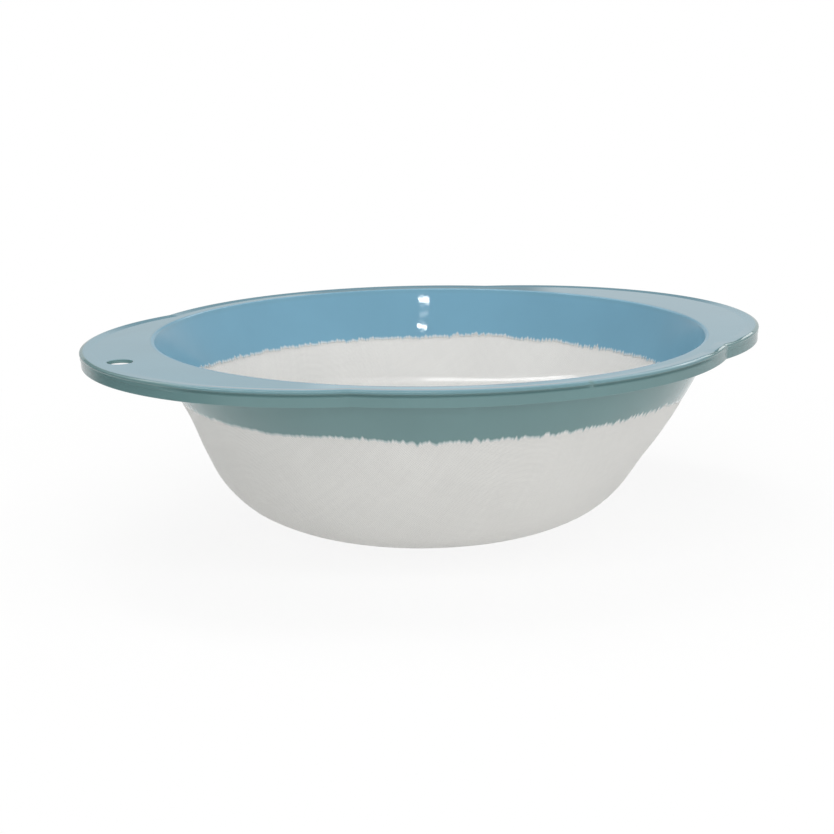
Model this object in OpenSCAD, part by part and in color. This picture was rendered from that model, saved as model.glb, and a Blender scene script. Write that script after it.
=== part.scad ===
// Rice washing bowl: a fine mesh basket with a plastic rim moulded onto its top edge.
// The rim carries two ear handles, one of which is drilled so that the bowl can hang.
// Frame: +Z up, origin on the bowl's axis at the surface it stands on, ears along X.

/* [Bowl] */
// Diameter of the mouth at the rim's top face, where the flat flange begins
mouth_d = 239; // [200:1:280]
// Height of the rim's top face above the surface that the bowl stands on
bowl_h = 84.5; // [70:0.5:100]
// Lean of the side wall from the vertical, in degrees
wall_lean = 27.6; // [20:0.1:32]
// Radius of the bend between the side wall and the bottom, on the outside
corner_r = 52; // [30:1:60]
// Radius of the bottom's shallow dome, on the outside
dome_r = 300; // [200:5:500]
// Diameter of the flat that the bowl stands on
base_d = 50; // [30:1:70]

/* [Rim moulding] */
// Width of the flat flange, from the mouth to the rim's outer edge
flange_w = 8.7; // [7:0.1:25]
// Thickness of the flange and the ears
flange_t = 1.5; // [1.2:0.1:3]
// Height of the downturned skirt, from the rim's top face to its lower edge
skirt_h = 6; // [4:0.5:12]
// Thickness of the skirt
skirt_t = 1.8; // [1:0.1:3]
// Overhang of the flange's edge past the skirt's outer face
edge_overhang = 0.4; // [0.1:0.1:1]
// Rounding of the mouth's inner lip
lip_r = 3; // [1:0.1:4]
// Thickness of the band where it grows out of the rim, measured level
root_t = 5.4; // [3.5:0.1:7]
// Height of the moulded band, from the rim's top face to its lower edge
band_h = 23.3; // [20:0.1:40]
// Plastic over each face of the mesh, at the band's lower edge
skin_t = 0.4; // [0.2:0.05:0.8]
// Fillet between the band's outer face and the underside of the flange
neck_r = 3; // [1:0.5:4]

/* [Ears] */
// Reach of each ear past the rim's outer edge
ear_reach = 21.8; // [14:0.1:40]
// Radius of an ear's rounded outline
ear_r = 103.5; // [80:0.5:115]
// Radius of the hollow curve where an ear runs into the rim
ear_blend_r = 6; // [4:1:60]
// Diameter of the hang hole
hang_d = 10; // [6:0.5:14]
// Distance of the hang hole's centre from the tip of its ear
hang_inset = 12; // [11:0.5:18]

/* [Mesh] */
// Thickness of the woven mesh
mesh_t = 0.5; // [0.3:0.05:1]
// Height of the mesh's hem that is moulded into the band
hem_h = 14; // [6:1:16]

/* [Hidden] */
$fn = 180;
rim_colour = [0.45, 0.63, 0.70];
mesh_colour = [0.86, 0.86, 0.84];
cut_over = 1;

// Plan of the rim: a circle with one larger lobe on each side, blended by hollow arcs
mouth_r = mouth_d / 2;
rim_r = mouth_r + flange_w;
ear_x = rim_r + ear_reach - ear_r;
hang_x = -(rim_r + ear_reach - hang_inset);
rim_to_blend = rim_r + ear_blend_r;
ear_to_blend = ear_r + ear_blend_r;
blend_x = (rim_to_blend^2 + ear_x^2 - ear_to_blend^2) / (2 * ear_x);
blend_y = sqrt(rim_to_blend^2 - blend_x^2);

// Heights of the moulding's steps
flange_z = bowl_h - flange_t;
skirt_z = bowl_h - skirt_h;
band_z = bowl_h - band_h;
hem_z = band_z + hem_h;

// The band's outer face is a cone, and the mesh's outer face lies one skin inside it
band_top_r = mouth_r - lip_r + root_t;
function band_r(z) = band_top_r - (bowl_h - z) * tan(wall_lean);
function level(t) = t / cos(wall_lean);
function mesh_r(z) = band_r(z) - level(skin_t);

// The corner arc touches the mesh's cone and the dome; its centre solves a quadratic in z
dome_z = sqrt(dome_r^2 - (base_d / 2)^2);
corner_x0 = mesh_r(0) - level(corner_r);
corner_b = dome_z - corner_x0 * tan(wall_lean);
corner_c = corner_x0^2 + dome_z^2 - (dome_r - corner_r)^2;
corner_a = 1 + tan(wall_lean)^2;
corner_z = (corner_b - sqrt(corner_b^2 - corner_a * corner_c)) / corner_a;
corner_x = corner_x0 + corner_z * tan(wall_lean);
dome_lean = atan2(dome_z - corner_z, corner_x);

// The band's inner face runs from the skin at its lower edge to a tangent of the lip's arc
lip_z = bowl_h - lip_r;
inner_r = mesh_r(band_z) - level(mesh_t + skin_t);
lip_run = norm([mouth_r - inner_r, lip_z - band_z]);
inner_lean = atan2(mouth_r - inner_r, lip_z - band_z) - asin(lip_r / lip_run);
lip_touch = [mouth_r - lip_r * cos(inner_lean), lip_z + lip_r * sin(inner_lean)];

// Point at a distance from a centre, at an angle below the level
function below(centre, r, angle) = centre + r * [cos(angle), -sin(angle)];

// Outline of the rim and its ears, drawn in by an inset that keeps every arc concentric
module rim_outline(inset) {
    circle(rim_r - inset);
    for (side = [-1, 1]) {
        translate([side * ear_x, 0])
            circle(ear_r - inset);
        for (flank = [-1, 1])
            difference() {
                polygon([[0, 0], [side * ear_x, 0], [side * blend_x, flank * blend_y]]);
                translate([side * blend_x, flank * blend_y])
                    circle(ear_blend_r + inset);
            }
    }
}

// The mesh bowl filled up to a height, drawn in by an inset: its wall, its bend and its dome
module bowl_solid(inset, top) {
    corner = [corner_x, corner_z];
    wall_touch = below(corner, corner_r - inset, wall_lean);
    dome_touch = below(corner, corner_r - inset, dome_lean);
    rotate_extrude()
        polygon([
            [0, top],
            [mesh_r(top) - level(inset), top],
            wall_touch,
            dome_touch,
            [0, dome_touch[1]],
        ]);
    rotate_extrude()
        intersection() {
            translate(corner)
                circle(corner_r - inset);
            polygon([
                corner,
                below(corner, 2 * corner_r, wall_lean),
                below(corner, 2 * corner_r, (wall_lean + dome_lean) / 2),
                below(corner, 2 * corner_r, dome_lean),
            ]);
        }
    rotate_extrude()
        intersection() {
            translate([0, dome_z])
                circle(dome_r - inset);
            translate([0, inset])
                square([dome_touch[0], corner_z - inset]);
        }
}

// The mesh as one thin shell, from its flat base to the top of its hem
module mesh_shell() {
    difference() {
        bowl_solid(0, hem_z);
        bowl_solid(mesh_t, hem_z + cut_over);
    }
}

module flange() {
    translate([0, 0, flange_z])
        linear_extrude(flange_t)
            rim_outline(0);
}

module skirt() {
    translate([0, 0, skirt_z])
        linear_extrude(skirt_h - flange_t / 2)
            difference() {
                rim_outline(edge_overhang);
                rim_outline(edge_overhang + skirt_t);
            }
}

// The band before its mouth is cut: a cone with a fillet under the flange
module band() {
    root_z = flange_z + flange_t / 2;
    neck_z = flange_z - neck_r;
    neck = [band_r(neck_z) + level(neck_r), neck_z];
    rotate_extrude() {
        polygon([[0, band_z], [band_r(band_z), band_z], [band_r(root_z), root_z], [0, root_z]]);
        difference() {
            polygon([
                [band_r(flange_z), flange_z],
                below(neck, -neck_r, wall_lean),
                neck,
                [neck[0], flange_z],
            ]);
            translate(neck)
                circle(neck_r);
        }
    }
}

// The space inside the band, with the lip's rounding left standing at its edge
module mouth() {
    low_z = band_z - cut_over;
    rotate_extrude()
        difference() {
            polygon([
                [0, low_z],
                [inner_r - cut_over * tan(inner_lean), low_z],
                lip_touch,
                [mouth_r, lip_z],
                [mouth_r, bowl_h + cut_over],
                [0, bowl_h + cut_over],
            ]);
            translate([mouth_r, lip_z])
                circle(lip_r);
        }
}

module hang_hole() {
    translate([hang_x, 0, flange_z - cut_over])
        cylinder(h = flange_t + 2 * cut_over, d = hang_d);
}

module rim_moulding() {
    color(rim_colour)
        difference() {
            union() {
                flange();
                skirt();
                band();
            }
            mouth();
            mesh_shell();
            hang_hole();
        }
}

module mesh_basket() {
    color(mesh_colour)
        mesh_shell();
}

rim_moulding();
mesh_basket();
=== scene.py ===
from math import atan2, cos, degrees, exp, hypot, pi, radians, sin, sqrt, tan

import bmesh
import bpy
from numpy import interp
from mathutils import Matrix, Quaternion, Vector, noise


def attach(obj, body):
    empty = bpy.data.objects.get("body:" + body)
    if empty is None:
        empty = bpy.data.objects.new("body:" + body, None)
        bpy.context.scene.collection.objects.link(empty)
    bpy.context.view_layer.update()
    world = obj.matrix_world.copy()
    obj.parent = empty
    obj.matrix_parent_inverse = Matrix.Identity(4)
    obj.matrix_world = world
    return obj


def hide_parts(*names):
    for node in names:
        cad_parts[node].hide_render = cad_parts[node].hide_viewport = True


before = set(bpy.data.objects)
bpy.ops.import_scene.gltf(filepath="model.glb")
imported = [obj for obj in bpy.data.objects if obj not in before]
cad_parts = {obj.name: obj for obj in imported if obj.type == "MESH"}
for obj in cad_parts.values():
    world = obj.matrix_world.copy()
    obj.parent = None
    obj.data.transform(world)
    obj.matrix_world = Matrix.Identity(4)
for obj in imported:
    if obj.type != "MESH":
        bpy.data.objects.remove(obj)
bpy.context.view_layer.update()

# Mesh basket: one sheet of fine white monofilament, plain woven, drawn warm over a former into a
# bowl with a rounded bend and a shallow domed bottom. Its hem is buried in the rim's band, and
# below the band the soft sheet has settled a little to one side.
MM = 0.001
RIM_TOP = 84.5
BAND_FOOT = 61.2
WALL_LEAN = radians(27.6)
BAND_TOP_R = 121.9
SKIN = 0.4
MESH_T = 0.5
HEM_TOP = 75.2
BEND_CENTRE, BEND_R = (47.65, 55.58), 52
DOME_CENTRE, DOME_R = (0, 298.957), 300
BEND_ENDS = (27.6, 78.92)
DOME_FOOT = 85.22
FLAT_RING_R = 12
BASKET_STEPS, BEND_STEPS, DOME_STEPS = 300, 16, 6
SHARP_FROM = radians(38)
# The way the bowl leans, how far its band goes that way and its sheet the other way, and the
# heights between which each of them grows
LEAN_WAY = Vector((0.883, -0.469, 0))
BAND_LEAN, BAND_LEAN_ROWS = 0.9, (RIM_TOP, 62)
SHEET_LEAN, SHEET_LEAN_ROWS = 3.4, (56, 25)
# The former's waist: heights, and how far the sheet lies outside the plain cone and bend there
WAIST = (4, 9, 14, 20, 26, 31, 36, 41), (0, 0.35, 0.55, 0.1, -0.35, -0.5, -0.3, 0)
# A small step low on the back: the way it lies, depths below its line, and how far in it goes
STEP_WAY = radians(61.6)
STEP = ((-0.8, -0.3, 0.2, 0.7, 1.2, 1.7, 2.2, 3, 6, 14, 24),
        (0, 0.03, 0.25, 0.6, 0.95, 1.3, 1.55, 1.65, 1.5, 0.7, 0))
# The step's line: its height, the level part in the middle, how steeply it curls up to the left and
# right of that, and where it fades out, all by degrees round from the middle
STEP_LINE = 42.9
STEP_FLAT = (0, 8)
STEP_CURLS = (0.0022, 0.0045)
STEP_ENDS = (-34, -10), (56, 40)
# The threads are pressed smooth along the step: depth below its line, and half width
PRESS_DEPTH, PRESS_HALF = 1.0, 1.5
# Rows of the wall, close together where the step is
WALL_ROWS = (HEM_TOP, 66, 60, 56, 53.5, *(52 - 0.4 * i for i in range(34)), 36.5, 34.5)
# Dimples: depth, size, and the height over which they fade out at the band and at the bottom
DIMPLE, DIMPLE_SIZE, DIMPLE_FADE = 0.25, 22, 12
# Weave: its pitch, the share of it that a thread fills, and how far a thread goes over and under
WEAVE_PITCH, THREAD_SHARE, THREAD_WAVE = 0.6 * MM, 0.66, 0.3


def band_r(z):
    """Radius of the band's outer face at a height."""
    return BAND_TOP_R - (RIM_TOP - z) * tan(WALL_LEAN)


def arc(centre, radius, start, stop, steps):
    """Points along an arc in the section, by angles below the level in degrees."""
    turns = [radians(start + (stop - start) * i / steps) for i in range(steps + 1)]
    return [(centre[0] + radius * cos(t), centre[1] - radius * sin(t)) for t in turns]


def sheet_run(inset):
    """One face of the sheet in section, from its hem down the wall to the middle of its bottom."""
    wall = [(band_r(z) - (SKIN + inset) / cos(WALL_LEAN), z) for z in WALL_ROWS]
    bend = arc(BEND_CENTRE, BEND_R - inset, *BEND_ENDS, BEND_STEPS)
    dome = arc(DOME_CENTRE, DOME_R - inset, BEND_ENDS[1], DOME_FOOT, DOME_STEPS)[1:]
    drawn = [(r + interp(z, *WAIST), z) for r, z in wall + bend + dome]
    return drawn + [(FLAT_RING_R, inset), (0, inset)]


def smooth_step(low, high, x):
    """0 below low, 1 above high, and an even S between."""
    t = min(1, max(0, (x - low) / (high - low)))
    return t * t * (3 - 2 * t)


def wave_height(turn, waves):
    """Height at an angle of smooth waves, each given by angle, height and half width in degrees."""
    height = 0
    for angle, high, half in waves:
        away = (degrees(turn) - angle + 180) % 360 - 180
        height += high * exp(-((away / half) ** 2))
    return height


def settle(vert):
    """Moves a point to where it lies in the real bowl, which leans a little to one side."""
    z = vert.co.z
    band, sheet = smooth_step(*BAND_LEAN_ROWS, z), smooth_step(*SHEET_LEAN_ROWS, z)
    vert.co += LEAN_WAY * (BAND_LEAN * band - SHEET_LEAN * sheet)


def new_piece(name, mesh_in_mm, material):
    """Turns a bmesh drawn in millimetres into a piece at the origin, shaded smooth."""
    for vert in mesh_in_mm.verts:
        vert.co *= MM
    mesh = bpy.data.meshes.new(name)
    mesh_in_mm.to_mesh(mesh)
    mesh_in_mm.free()
    mesh.shade_smooth()
    mesh.set_sharp_from_angle(angle=SHARP_FROM)
    mesh.materials.append(material)
    piece = bpy.data.objects.new(name, mesh)
    bpy.context.scene.collection.objects.link(piece)
    return piece


class Wire:
    """A socket of a node tree. Arithmetic on wires adds Math nodes, and node() adds any other."""

    def __init__(self, tree, socket=None):
        self.tree, self.socket = tree, socket

    def node(self, kind, settings=None, sockets=None, out=0):
        """Adds a node, sets it and then its sockets, and gives a wire from each output asked for."""
        made = self.tree.nodes.new(kind)
        for name, value in (settings or {}).items():
            setattr(made, name, value)
        for name, value in (sockets or {}).items():
            if isinstance(value, Wire):
                self.tree.links.new(value.socket, made.inputs[name])
            else:
                made.inputs[name].default_value = value
        if isinstance(out, tuple):
            return tuple(Wire(self.tree, made.outputs[o]) for o in out)
        return Wire(self.tree, made.outputs[out]) if made.outputs else None

    def maths(self, operation, *values):
        """Adds a Math node on wires and numbers."""
        return self.node("ShaderNodeMath", {"operation": operation}, dict(enumerate(values)))

    def __add__(self, other):
        return self.maths("ADD", self, other)

    def __sub__(self, other):
        return self.maths("SUBTRACT", self, other)

    def __rsub__(self, other):
        return self.maths("SUBTRACT", other, self)

    def __mul__(self, other):
        return self.maths("MULTIPLY", self, other)

    def __truediv__(self, other):
        return self.maths("DIVIDE", self, other)

    def __rtruediv__(self, other):
        return self.maths("DIVIDE", other, self)

    __radd__, __rmul__ = __add__, __mul__

    def between(self, low, high):
        """0 where the value is at low, 1 at high, clamped, with a smooth change."""
        return self.node("ShaderNodeMapRange", {"interpolation_type": "SMOOTHSTEP"},
                         {"Value": self, "From Min": low, "From Max": high})

    def blend(self, first, second):
        """First colour where the value is 0, second where it is 1."""
        return self.node("ShaderNodeMix", {"data_type": "RGBA"},
                         {"Factor": self, "A": first, "B": second}, out=2)


def new_material(name):
    """A material with an empty node tree, and a wire to draw it from."""
    material = bpy.data.materials.new(name)
    material.use_nodes = True
    material.node_tree.nodes.clear()
    return material, Wire(material.node_tree)


basket_mesh = bmesh.new()
run_layer = basket_mesh.verts.layers.float.new("run")
pressed_layer = basket_mesh.verts.layers.float.new("pressed")
hem = []
for inset in (0, MESH_T):
    line = [basket_mesh.verts.new((r, 0, z)) for r, z in reversed(sheet_run(inset))]
    for lower, upper in zip(line, line[1:]):
        basket_mesh.edges.new((lower, upper))
        upper[run_layer] = lower[run_layer] + (upper.co - lower.co).length
    hem.append(line[-1])
basket_mesh.edges.new(hem)
bmesh.ops.spin(basket_mesh, geom=basket_mesh.verts[:] + basket_mesh.edges[:], cent=(0, 0, 0),
               axis=(0, 0, 1), angle=2 * pi, steps=BASKET_STEPS, use_merge=True)
bmesh.ops.remove_doubles(basket_mesh, verts=basket_mesh.verts, dist=1e-4)
bmesh.ops.recalc_face_normals(basket_mesh, faces=basket_mesh.faces)

weave_map = basket_mesh.loops.layers.uv.new("weave")
for face in basket_mesh.faces:
    for loop in face.loops:
        x, y = loop.vert.co.xy
        spread = loop.vert[run_layer] * MM / max(hypot(x, y), 1e-6)
        loop[weave_map].uv = (x * spread, y * spread)
for vert in basket_mesh.verts:
    below_band = smooth_step(0, 1, (BAND_FOOT - vert.co.z) / DIMPLE_FADE)
    above_foot = smooth_step(0, 1, vert.co.z / DIMPLE_FADE)
    dimple = DIMPLE * below_band * above_foot * noise.noise(vert.co / DIMPLE_SIZE)
    side = Vector((vert.co.x, vert.co.y, 0))
    round_to = (degrees(STEP_WAY - atan2(side.y, side.x)) + 180) % 360 - 180
    left, right = min(0, round_to - STEP_FLAT[0]), max(0, round_to - STEP_FLAT[1])
    stepped = smooth_step(*STEP_ENDS[0], round_to) * smooth_step(*STEP_ENDS[1], round_to)
    depth = STEP_LINE + STEP_CURLS[1] * right ** 2 + STEP_CURLS[0] * left ** 2 - vert.co.z
    vert[pressed_layer] = stepped * exp(-(((depth - PRESS_DEPTH) / PRESS_HALF) ** 2))
    if side.length > 1:
        vert.co += side.normalized() * (dimple - stepped * interp(depth, *STEP))
    settle(vert)

mesh_white, wire = new_material("woven_mesh")
weave = wire.node("ShaderNodeUVMap", {"uv_map": "weave"})
across, along = wire.node("ShaderNodeSeparateXYZ", None, {0: weave}, out=("X", "Y"))
across, along = across / WEAVE_PITCH, along / WEAVE_PITCH


def thread(crosswise, lengthwise, phase):
    """Height of one set of threads: round in section, passing over and under the other set."""
    off = (wire.maths("FRACT", crosswise) - 0.5) * (2 / THREAD_SHARE)
    roundness = wire.maths("SQRT", wire.maths("MAXIMUM", 1 - off * off, 0))
    wave = wire.maths("SINE", (lengthwise + wire.maths("FLOOR", crosswise) + phase) * pi)
    return roundness * (wave * THREAD_WAVE + (1 - THREAD_WAVE))


height = wire.maths("MAXIMUM", thread(across, along, 0), thread(along, across, 1))
cover = height.between(0.02, 0.12)
place = wire.node("ShaderNodeTexCoord", out="Object")
cloud = wire.node("ShaderNodeTexNoise", None, {"Vector": place, "Scale": 38.0, "Detail": 3.0})
warp_place, weft_place = (
    wire.node("ShaderNodeCombineXYZ", None, {"X": across * wide, "Y": along * long})
    for wide, long in ((0.3, 0.02), (0.02, 0.3)))
warp, weft = (
    wire.node("ShaderNodeTexNoise", None, {"Vector": streaks, "Scale": 1.0, "Detail": 2.0})
    for streaks in (warp_place, weft_place))
mottle = (cloud + warp + weft).between(1.1, 1.9)
thread_white = mottle.blend((0.83, 0.824, 0.806, 1), (0.89, 0.884, 0.864, 1))
mesh_colour = height.between(0.0, 0.8).blend((0.76, 0.754, 0.737, 1), thread_white)
relief = wire.node("ShaderNodeBump", None, {"Strength": 0.3, "Distance": 0.2 * MM, "Height": height})
pressed = wire.node("ShaderNodeAttribute", {"attribute_name": "pressed"}, out="Fac")
woven = wire.node("ShaderNodeBsdfPrincipled", None, {
    "Base Color": mesh_colour, "Roughness": 0.42, "IOR": 1.46, "Normal": relief,
    "Coat Weight": pressed, "Coat Roughness": 0.1, "Coat IOR": 1.7, "Alpha": cover * 0.6 + 0.4})
glow = wire.node("ShaderNodeBsdfTranslucent", None, {
    "Color": (0.835, 0.829, 0.811, 1), "Normal": relief})
sheer = wire.node("ShaderNodeMixShader", None, {0: 0.25, 1: woven, 2: glow})
wire.node("ShaderNodeOutputMaterial", None, {"Surface": sheer})

basket = new_piece("mesh_basket_woven", basket_mesh, mesh_white)
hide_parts("mesh_basket")
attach(basket, "root")

# Rim moulding: one glossy blue-grey injection moulding, shot round the top of the basket. A flat
# flange with an ear on each side, a downturned skirt round its edge, and a band whose plastic ran
# down through the mesh and froze in a ragged front. The left ear has a round hole to hang it by.
RIM_R = 128.2
EAR_X, EAR_R = 46.5, 103.5
BLEND_AT, BLEND_R = (87.975, 101.34), 6
FLANGE_FOOT = 83.0
SKIRT_FOOT = 78.5
SKIRT_OUT, SKIRT_IN = 127.8, 126.0
INNER_SLOPE = 0.3906
INNER_FOOT_R = 108.36
HOLE_AT, HOLE_R, HOLE_ROUND, HOLE_STEPS = (-138, 0), 5.0, 0.3, 72
# The flat round the hole that makes way for its rounded bore: along the ear, and half across it
HOLE_PATCH, HOLE_PATCH_HALF = (-141, -129), 7.6
# Steps round the rim, made by spinning one sector and doubling it
RIM_STEPS, DOUBLINGS = 1280, 4
# Painted shade of the top face: its share of the outer faces' darker, greener colour, where 0 is the
# inner face's colour and 1 the outer faces'
TOP_SHADE = 0.45
# The section follows the outline outside these radii: on the top face, and below it with a blend
TOP_FROM = 84
TOP_FOLLOWS, UNDERSIDE_FOLLOWS, FOLLOW_BLEND = 120.2, 123.2, 1.2
# The edge and the cove under it, and the radius that fills the cove up to the skirt's face, with the
# share of the outer faces' painted shade that the filled edge takes
EDGE_FROM, EDGE_R, COVE_TOP = 82, 126.9, 83.6
COVE_FILL_R, COVE_FILL_SHADE = SKIRT_OUT + 0.25, 1.05
# Degrees from the right ear over which the cove goes out towards that ear, and towards the left one
EAR_SECTORS = (64, 56), (154, 164)
# The plastic's front: noise scales of its fine teeth, coarse teeth and slow waves, and their heights
TEETH_FINE, TEETH_COARSE, FRONT_SLOW = 118, 47, 14
TEETH_HEIGHT, SLOW_HEIGHT = 1.5, 0.25
# How rough its teeth are, and the share of the coarse ones
TEETH_ROUGH, COARSE_SHARE = 0.8, 0.7
# Places where the plastic ran less far (up) or further (down): angle, rise, half width in degrees
FRONT_WAVES = ((-168, -0.6, 14), (-151, -0.9, 6), (-135, 0.95, 8), (-120, -0.6, 5), (-72, 1.4, 14),
               (-62, 0.6, 5), (-50, -0.6, 5), (48, 1.5, 9), (27, 1.0, 5), (137, 1.3, 7))
# Places where its teeth are coarser or finer: angle, change, half width in degrees
FRONT_TEETH = (-68, 0.6, 22), (15, 0.4, 22), (-152, -0.5, 18)
# The gate's stub, which fills the cove at one place: angle, share, half width in degrees
GATE_STUB = (-91.3, 1, 0.45),
# Places where the ridge along the edge is flattened: angle, share, half width in degrees
RIDGE_DIPS = (-176, 0.9, 11), (-56.5, 0.85, 2.5), (-44.5, 0.85, 3.5)


def inner_r(z):
    """Radius of the band's inner face at a height."""
    return INNER_FOOT_R + (z - BAND_FOOT) * INNER_SLOPE


def outline_r(turn, inset):
    """Distance from the axis to the rim's plan outline, drawn in by an inset."""
    x, y = abs(cos(turn)), abs(sin(turn))
    plain = RIM_R - inset
    lobe_reach = (EAR_R - inset) ** 2 - (EAR_X * y) ** 2
    lobe = EAR_X * x + sqrt(lobe_reach) if lobe_reach > 0 else 0
    to_blend = hypot(BLEND_AT[0] - EAR_X, BLEND_AT[1])
    touch_x = EAR_X + (EAR_R - inset) * (BLEND_AT[0] - EAR_X) / to_blend
    touch_y = (EAR_R - inset) * BLEND_AT[1] / to_blend
    if atan2(touch_y, touch_x) < atan2(y, x) < atan2(BLEND_AT[1], BLEND_AT[0]):
        run = x * BLEND_AT[0] + y * BLEND_AT[1]
        gap = (BLEND_R + inset) ** 2 - (BLEND_AT[0] ** 2 + BLEND_AT[1] ** 2 - run ** 2)
        return run - sqrt(gap)
    return max(plain, lobe)


def ear_share(turn):
    """1 round the ears, where the edge has no cove under it, and 0 along the round of the rim."""
    off = abs((degrees(turn) + 180) % 360 - 180)
    return smooth_step(*EAR_SECTORS[0], off) + smooth_step(*EAR_SECTORS[1], off)


def front_rise(turn):
    """How far above its usual foot the plastic's front stopped, with teeth along the threads."""
    ring = Vector((cos(turn), sin(turn), 0))
    rough = TEETH_ROUGH + wave_height(turn, FRONT_TEETH)
    coarse = noise.noise(ring * TEETH_COARSE + Vector((0, 0, 7.3)))
    teeth = noise.noise(ring * TEETH_FINE) + COARSE_SHARE * coarse
    slow = SLOW_HEIGHT * noise.noise(ring * FRONT_SLOW + Vector((0, 0, 1.7)))
    return wave_height(turn, FRONT_WAVES) + TEETH_HEIGHT * rough * teeth + slow


rim_mesh = bmesh.new()
reach_layer = rim_mesh.verts.layers.float.new("reach")
outside_layer = rim_mesh.verts.layers.float.new("outside")
# Section of the rim: radius, height, share of the front's rise, and share of the outer faces'
# painted shade (0 on the inner face, 1 on the outer faces)
section = [(108.98, 61.55, 1, 0.2), (109.30, 61.2, 1, 1)]
section += [(band_r(z) - taper, z, reach, 1) for z, reach, taper in (
    (62.4, 0.9, 0.33), (64.5, 0.55, 0.2), (68, 0.15, 0.05), (74, 0, 0))]
section += [
    (band_r(FLANGE_FOOT), FLANGE_FOOT, 0, 1), (SKIRT_IN, FLANGE_FOOT, 0, 1),
    (SKIRT_IN, SKIRT_FOOT, 0, 1), (SKIRT_OUT, SKIRT_FOOT, 0, 1), (SKIRT_OUT, 82.2, 0, 1),
    (127.15, 82.9, 0, 1), (127.15, 83.35, 0, 1), (RIM_R, 83.55, 0, 1), (RIM_R, 84.15, 0, 0.8)]
section += [(RIM_R - inset, RIM_TOP + rise, 0, tint) for inset, rise, tint in (
    (0.4, -0.06, 0.8), (1.2, 0.24, 0.6), (1.6, 0.33, 0.55), (2, 0.32, 0.5),
    (5.6, 0, TOP_SHADE), (6, 0, TOP_SHADE))]
section += [(118.9, RIM_TOP, 0, TOP_SHADE), (inner_r(RIM_TOP), RIM_TOP, 0, 0.12)]
section += [(inner_r(z), z, reach, 0) for z, reach in (
    (81.8, 0), (75, 0), (68, 0.15), (64.5, 0.55), (62.4, 0.9), (61.2, 1))]
# Corners of the section that are rounded: place in the list, length along each side, steps. From the
# neck under the flange they go round the skirt, its foot, the cove and the edge to the mouth's lip.
roundings = (
    (6, 1.817, 6), (7, 0.8, 3), (8, 0.3, 3), (9, 0.3, 3), (10, 0.3, 3), (11, 0.2, 2), (12, 0.15, 2),
    (13, 0.1, 2), (14, 0.25, 3), (22, 0.8, 7))
corners = []
for r, z, reach, tint in section:
    vert = rim_mesh.verts.new((r, 0, z))
    vert[reach_layer], vert[outside_layer] = reach, tint
    corners.append(vert)
for pair in zip(corners, corners[1:] + corners[:1]):
    rim_mesh.edges.new(pair)
for place, length, steps in roundings:
    bmesh.ops.bevel(rim_mesh, geom=[corners[place]], offset=length, offset_type="OFFSET",
                    segments=steps, profile=0.5, affect="VERTICES", material=-1)
# Spun through one sector, which is then doubled until it is round: much quicker than one full spin
sector = 2 * pi / 2 ** DOUBLINGS
bmesh.ops.spin(rim_mesh, geom=rim_mesh.verts[:] + rim_mesh.edges[:], cent=(0, 0, 0),
               axis=(0, 0, 1), angle=sector, steps=RIM_STEPS // 2 ** DOUBLINGS)
for _ in range(DOUBLINGS):
    whole = rim_mesh.verts[:] + rim_mesh.edges[:] + rim_mesh.faces[:]
    twin = bmesh.ops.duplicate(rim_mesh, geom=whole)["geom"]
    bmesh.ops.rotate(rim_mesh, verts=[v for v in twin if isinstance(v, bmesh.types.BMVert)],
                     cent=(0, 0, 0), matrix=Matrix.Rotation(sector, 3, "Z"))
    sector *= 2
bmesh.ops.remove_doubles(rim_mesh, verts=rim_mesh.verts, dist=1e-3)
foot_rings = [e for e in rim_mesh.edges if all(v[reach_layer] > 0.5 for v in e.verts)
              and abs(e.verts[0].co.z - e.verts[1].co.z) < 1e-4]
bmesh.ops.subdivide_edges(rim_mesh, edges=foot_rings, cuts=1, use_grid_fill=True)
rises = {}
for vert in rim_mesh.verts:
    x, y, z = vert.co
    r, turn = hypot(x, y), atan2(y, x)
    step = round(turn / pi * RIM_STEPS)
    if vert[reach_layer]:
        if step not in rises:
            rises[step] = front_rise(turn)
        rise = rises[step] * vert[reach_layer]
        z += rise
        r += rise * (tan(WALL_LEAN) if vert[outside_layer] else INNER_SLOPE)
    elif r > (TOP_FOLLOWS if z > TOP_FROM else UNDERSIDE_FOLLOWS) and z > SKIRT_FOOT - 1:
        filled = min(1, ear_share(turn) + wave_height(turn, GATE_STUB))
        # Round the ears and at the gate's stub the cove is filled, and the edge there takes the
        # outer faces' painted shade
        if z > EDGE_FROM and r > EDGE_R:
            r += filled * max(0, COVE_FILL_R - r) * (z < COVE_TOP)
            vert[outside_layer] += filled * max(0, COVE_FILL_SHADE - vert[outside_layer])
        if z > RIM_TOP:
            z -= (z - RIM_TOP) * min(1, wave_height(turn, RIDGE_DIPS))
        out = 1 if z > TOP_FROM else min(1, (r - UNDERSIDE_FOLLOWS) / FOLLOW_BLEND)
        r += out * (outline_r(turn, RIM_R - r) - r)
    vert.co = (r * cos(turn), r * sin(turn), z)

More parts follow.
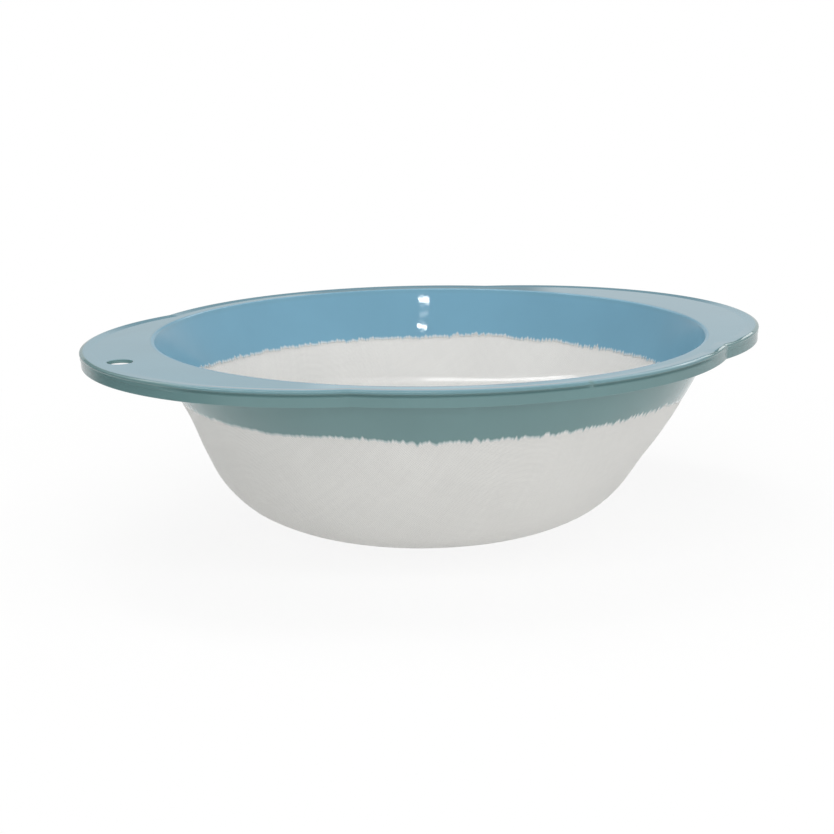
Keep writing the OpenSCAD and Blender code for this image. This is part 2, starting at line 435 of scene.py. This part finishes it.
patch = [f for f in rim_mesh.faces
         if abs(f.normal.z) > 0.99 and abs(f.calc_center_median().y) < HOLE_PATCH_HALF
         and HOLE_PATCH[0] < f.calc_center_median().x < HOLE_PATCH[1]]
bmesh.ops.delete(rim_mesh, geom=patch, context="FACES")
bush_mesh = bmesh.new()
bush = [bush_mesh.verts.new((HOLE_AT[0] + r, HOLE_AT[1], z)) for r, z in (
    (HOLE_R + HOLE_ROUND, RIM_TOP), (HOLE_R, RIM_TOP),
    (HOLE_R, FLANGE_FOOT), (HOLE_R + HOLE_ROUND, FLANGE_FOOT))]
for pair in zip(bush, bush[1:]):
    bush_mesh.edges.new(pair)
bmesh.ops.bevel(bush_mesh, geom=bush[1:3], offset=HOLE_ROUND - 0.01, offset_type="OFFSET",
                segments=5, profile=0.5, affect="VERTICES", material=-1)
bmesh.ops.spin(bush_mesh, geom=bush_mesh.verts[:] + bush_mesh.edges[:], cent=(*HOLE_AT, 0),
               axis=(0, 0, 1), angle=2 * pi, steps=HOLE_STEPS, use_merge=True)
bush_part = bpy.data.meshes.new("bush")
bush_mesh.to_mesh(bush_part)
bush_mesh.free()
rim_mesh.from_mesh(bush_part)
bpy.data.meshes.remove(bush_part)
# The hole's top edge takes the top face's painted shade, and its bore the outer faces' darker
# painted shade
for vert in rim_mesh.verts:
    if hypot(vert.co.x - HOLE_AT[0], vert.co.y - HOLE_AT[1]) < HOLE_R + 1:
        vert[outside_layer] = TOP_SHADE if vert.co.z > RIM_TOP - 0.05 else 1
for level in (RIM_TOP, FLANGE_FOOT):
    ring = [e for e in rim_mesh.edges
            if e.is_boundary and all(abs(v.co.z - level) < 1e-4 for v in e.verts)]
    bmesh.ops.triangle_fill(rim_mesh, edges=ring, use_beauty=True, normal=(0, 0, 1))
bmesh.ops.remove_doubles(rim_mesh, verts=rim_mesh.verts, dist=1e-5)
bmesh.ops.recalc_face_normals(rim_mesh, faces=rim_mesh.faces)
for vert in rim_mesh.verts:
    settle(vert)

rim_plastic, wire = new_material("rim_plastic")
place = wire.node("ShaderNodeTexCoord", out="Object")
outside = wire.node("ShaderNodeAttribute", {"attribute_name": "outside"}, out="Fac")
swirl = wire.node("ShaderNodeTexNoise", None, {"Vector": place, "Scale": 26.0, "Detail": 4.0})
# One blue-grey plastic, painted darker and greener on its outer faces and part way across its top:
# painted shade and painted light, not a second colour
rim_colour = outside.blend((0.177, 0.375, 0.505, 1), (0.142, 0.254, 0.260, 1))
rim_colour = swirl.between(0.3, 0.7).blend(rim_colour, wire.node(
    "ShaderNodeHueSaturation", None, {"Color": rim_colour, "Value": 1.06}))
# Along its front the plastic is only a pale film on the threads
film = wire.node("ShaderNodeAttribute", {"attribute_name": "reach"}, out="Fac").between(0.88, 1.0)
rim_colour = (film * 0.85).blend(rim_colour, (0.74, 0.77, 0.77, 1))
# The inner face is a little duller near the ears
x_place = wire.node("ShaderNodeSeparateXYZ", None, {0: place}, out="X")
dull = wire.maths("ABSOLUTE", x_place).between(0.06, 0.095) * (1 - outside.between(0.4, 0.45))
peel = wire.node("ShaderNodeTexNoise", None, {"Vector": place, "Scale": 420.0, "Detail": 2.0})
wavy = wire.node("ShaderNodeTexNoise", None, {"Vector": place, "Scale": 60.0, "Detail": 1.0})
surface = wire.node("ShaderNodeBump", None, {
    "Strength": 0.07, "Distance": 0.1 * MM, "Height": peel * 0.25 + wavy})
glossy = wire.node("ShaderNodeBsdfPrincipled", None, {
    "Base Color": rim_colour, "Roughness": swirl * 0.02 + 0.02 + dull * 0.2, "IOR": 1.5,
    "Normal": surface})
wire.node("ShaderNodeOutputMaterial", None, {"Surface": glossy})

rim = new_piece("rim_moulding_gloss", rim_mesh, rim_plastic)
even = rim.modifiers.new("even_normals", "WEIGHTED_NORMAL")
even.weight = 100
even.keep_sharp = True
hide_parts("rim_moulding")
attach(rim, "root")

# Table and room: a round pale table that fades to white, in a pale room. What the gloss mirrors of
# the room has a darker gap straight behind the bowl, a dark band above it and a bright one on top.
# Large lamps light the bowl, and small ones make the highlights on its far wall and its near edge.
TABLE_R, TABLE_STEPS = 400, 128
TABLE_FADE = (0.16, 0.38)
BACK_WAY, RIGHT_WAY = (0.475, 0.880, 0), (0.880, -0.475, 0)
floor_mesh = bmesh.new()
bmesh.ops.create_circle(floor_mesh, cap_ends=True, segments=TABLE_STEPS, radius=TABLE_R)
table_white, wire = new_material("table_white")
place = wire.node("ShaderNodeTexCoord", out="Object")
away = wire.node("ShaderNodeVectorMath", {"operation": "LENGTH"}, {0: place}, out="Value")
straight, mirrored, through = wire.node("ShaderNodeLightPath", out=(
    "Is Camera Ray", "Is Glossy Ray", "Is Transmission Ray"))
seen = wire.maths("MAXIMUM", straight, wire.maths("MAXIMUM", mirrored, through))
fade = away.between(*TABLE_FADE)
matt = wire.node("ShaderNodeBsdfDiffuse", None, {"Color": (0.93, 0.93, 0.92, 1)})
paper = wire.node("ShaderNodeEmission", None, {"Color": (1, 1, 1, 1), "Strength": 1.0})
shown = wire.node("ShaderNodeMixShader", None, {0: seen * (fade * 0.12 + 0.88), 1: matt, 2: paper})
wire.node("ShaderNodeOutputMaterial", None, {"Surface": shown})
floor = new_piece("table", floor_mesh, table_white)

room = bpy.data.worlds.new("pale_room")
bpy.context.scene.world = room
room.use_nodes = True
room.node_tree.nodes.clear()
wire = Wire(room.node_tree)
way = wire.node("ShaderNodeTexCoord", out="Generated")
up = wire.node("ShaderNodeSeparateXYZ", None, {0: way}, out="Z")
back, side = (
    wire.node("ShaderNodeVectorMath", {"operation": "DOT_PRODUCT"}, {0: way, 1: aim}, out="Value")
    for aim in (BACK_WAY, RIGHT_WAY))
straight, mirrored, through = wire.node("ShaderNodeLightPath", out=(
    "Is Camera Ray", "Is Glossy Ray", "Is Transmission Ray"))
white = wire.maths("MAXIMUM", straight, through)
wall = back.between(0.5, 0.95) * 0.31 + 0.29 + side * 0.17
swing = side / back
ahead = swing.between(-0.085, -0.06) * (1 - swing.between(0.062, 0.085)) * back.between(0.7, 0.8)
gap = ahead * (up.between(0.1, 0.13) * (1 - up.between(0.16, 0.18)))
gleam_row = up.between(0.18, 0.2) * (1 - up.between(0.225, 0.24))
gleam = ahead * (1 - swing.between(0.03, 0.06)) * gleam_row * 0.25
dusk = up.between(0.225, 0.26) * (1 - up.between(0.42, 0.48)) * back.between(0.6, 0.75)
shine_row = up.between(0.44, 0.5) * (1 - up.between(0.7, 0.8))
shine = shine_row * back.between(0.6, 0.75) * (1 - ahead * 0.75)
above = up.between(-0.02, 0.02)
beyond = 0.8 - (1 - side.between(-0.9, -0.6)) * 0.75
room_image = wall * (1 - gap * 0.7) * (1 - dusk * 0.85) + gleam + shine + 0.1
mirror_image = above * room_image + (1 - above) * beyond
soft_light = side.between(-1.0, 1.0) * 0.26 + 0.33
level = white + (1 - white) * (mirrored * mirror_image + (1 - mirrored) * soft_light)
sky = wire.node("ShaderNodeBackground", None, {"Color": (1, 1, 1, 1), "Strength": level})
wire.node("ShaderNodeOutputWorld", None, {"Surface": sky})

# Lamps: name, place, what it points at, size, power and roll in degrees
lamps = (
    ("ceiling_fill", (0.0475, 0.088, 1.25), (0, 0, 0.05), (2.4, 0.3), 4.5, 0),
    ("back_lamp", (-0.092, 0.440, 1.195), (0.05, 0.10, 0.05), (0.25, 0.9), 3.2, 0),
    ("high_fill", (-0.363, -0.672, 1.10), (0, 0, 0.05), (1.2, 0.15), 4.4, 0),
    ("front_fill", (-0.48, -1.20, 0.42), (0, 0, 0.04), (0.8, 0.4), 3.25, 0),
    ("upper_glint", (-0.3806, -0.7955, 0.7471), (0.053, 0.103, 0.080), (0.085, 0.0055), 0.073, 3.2),
    ("lower_glint", (-0.3563, -0.8240, 0.7182), (0.049, 0.100, 0.068), (0.085, 0.005), 0.05, 3.6),
    ("middle_glint", (-0.3750, -0.8070, 0.7312), (0.051, 0.101, 0.074), (0.07, 0.005), 0.006, 0),
    ("side_window", (0.917, 0.597, 0.534), (0.06, -0.11, 0.084), (0.12, 0.34), 0.22, 0))
for name, spot, aim, size, power, roll in lamps:
    lamp_data = bpy.data.lights.new(name, "AREA")
    lamp_data.shape = "RECTANGLE"
    lamp_data.size, lamp_data.size_y = size
    lamp_data.energy = power
    lamp = bpy.data.objects.new(name, lamp_data)
    lamp.visible_glossy = "fill" not in name
    lamp.location = spot
    facing = (Vector(aim) - Vector(spot)).to_track_quat("-Z", "Y")
    lamp.rotation_euler = (facing @ Quaternion((0, 0, 1), radians(roll))).to_euler()
    bpy.context.scene.collection.objects.link(lamp)

CAMERA_AT = Vector((-0.32052, -0.59057, 0.20275))
CAMERA_AIM = Vector((-0.00510, 0.00271, 0.04567))
CAMERA_ROLL = radians(-0.729)
LENS_MM, SENSOR_MM = 68.15, 36
lens = bpy.data.cameras.new("camera")
lens.lens, lens.sensor_width = LENS_MM, SENSOR_MM
camera = bpy.data.objects.new("camera", lens)
camera.location = CAMERA_AT
look = (CAMERA_AIM - CAMERA_AT).to_track_quat("-Z", "Y")
camera.rotation_euler = (look @ Quaternion((0, 0, 1), CAMERA_ROLL)).to_euler()
bpy.context.scene.collection.objects.link(camera)
bpy.context.scene.camera = camera
bpy.context.scene.view_settings.view_transform = "Standard"
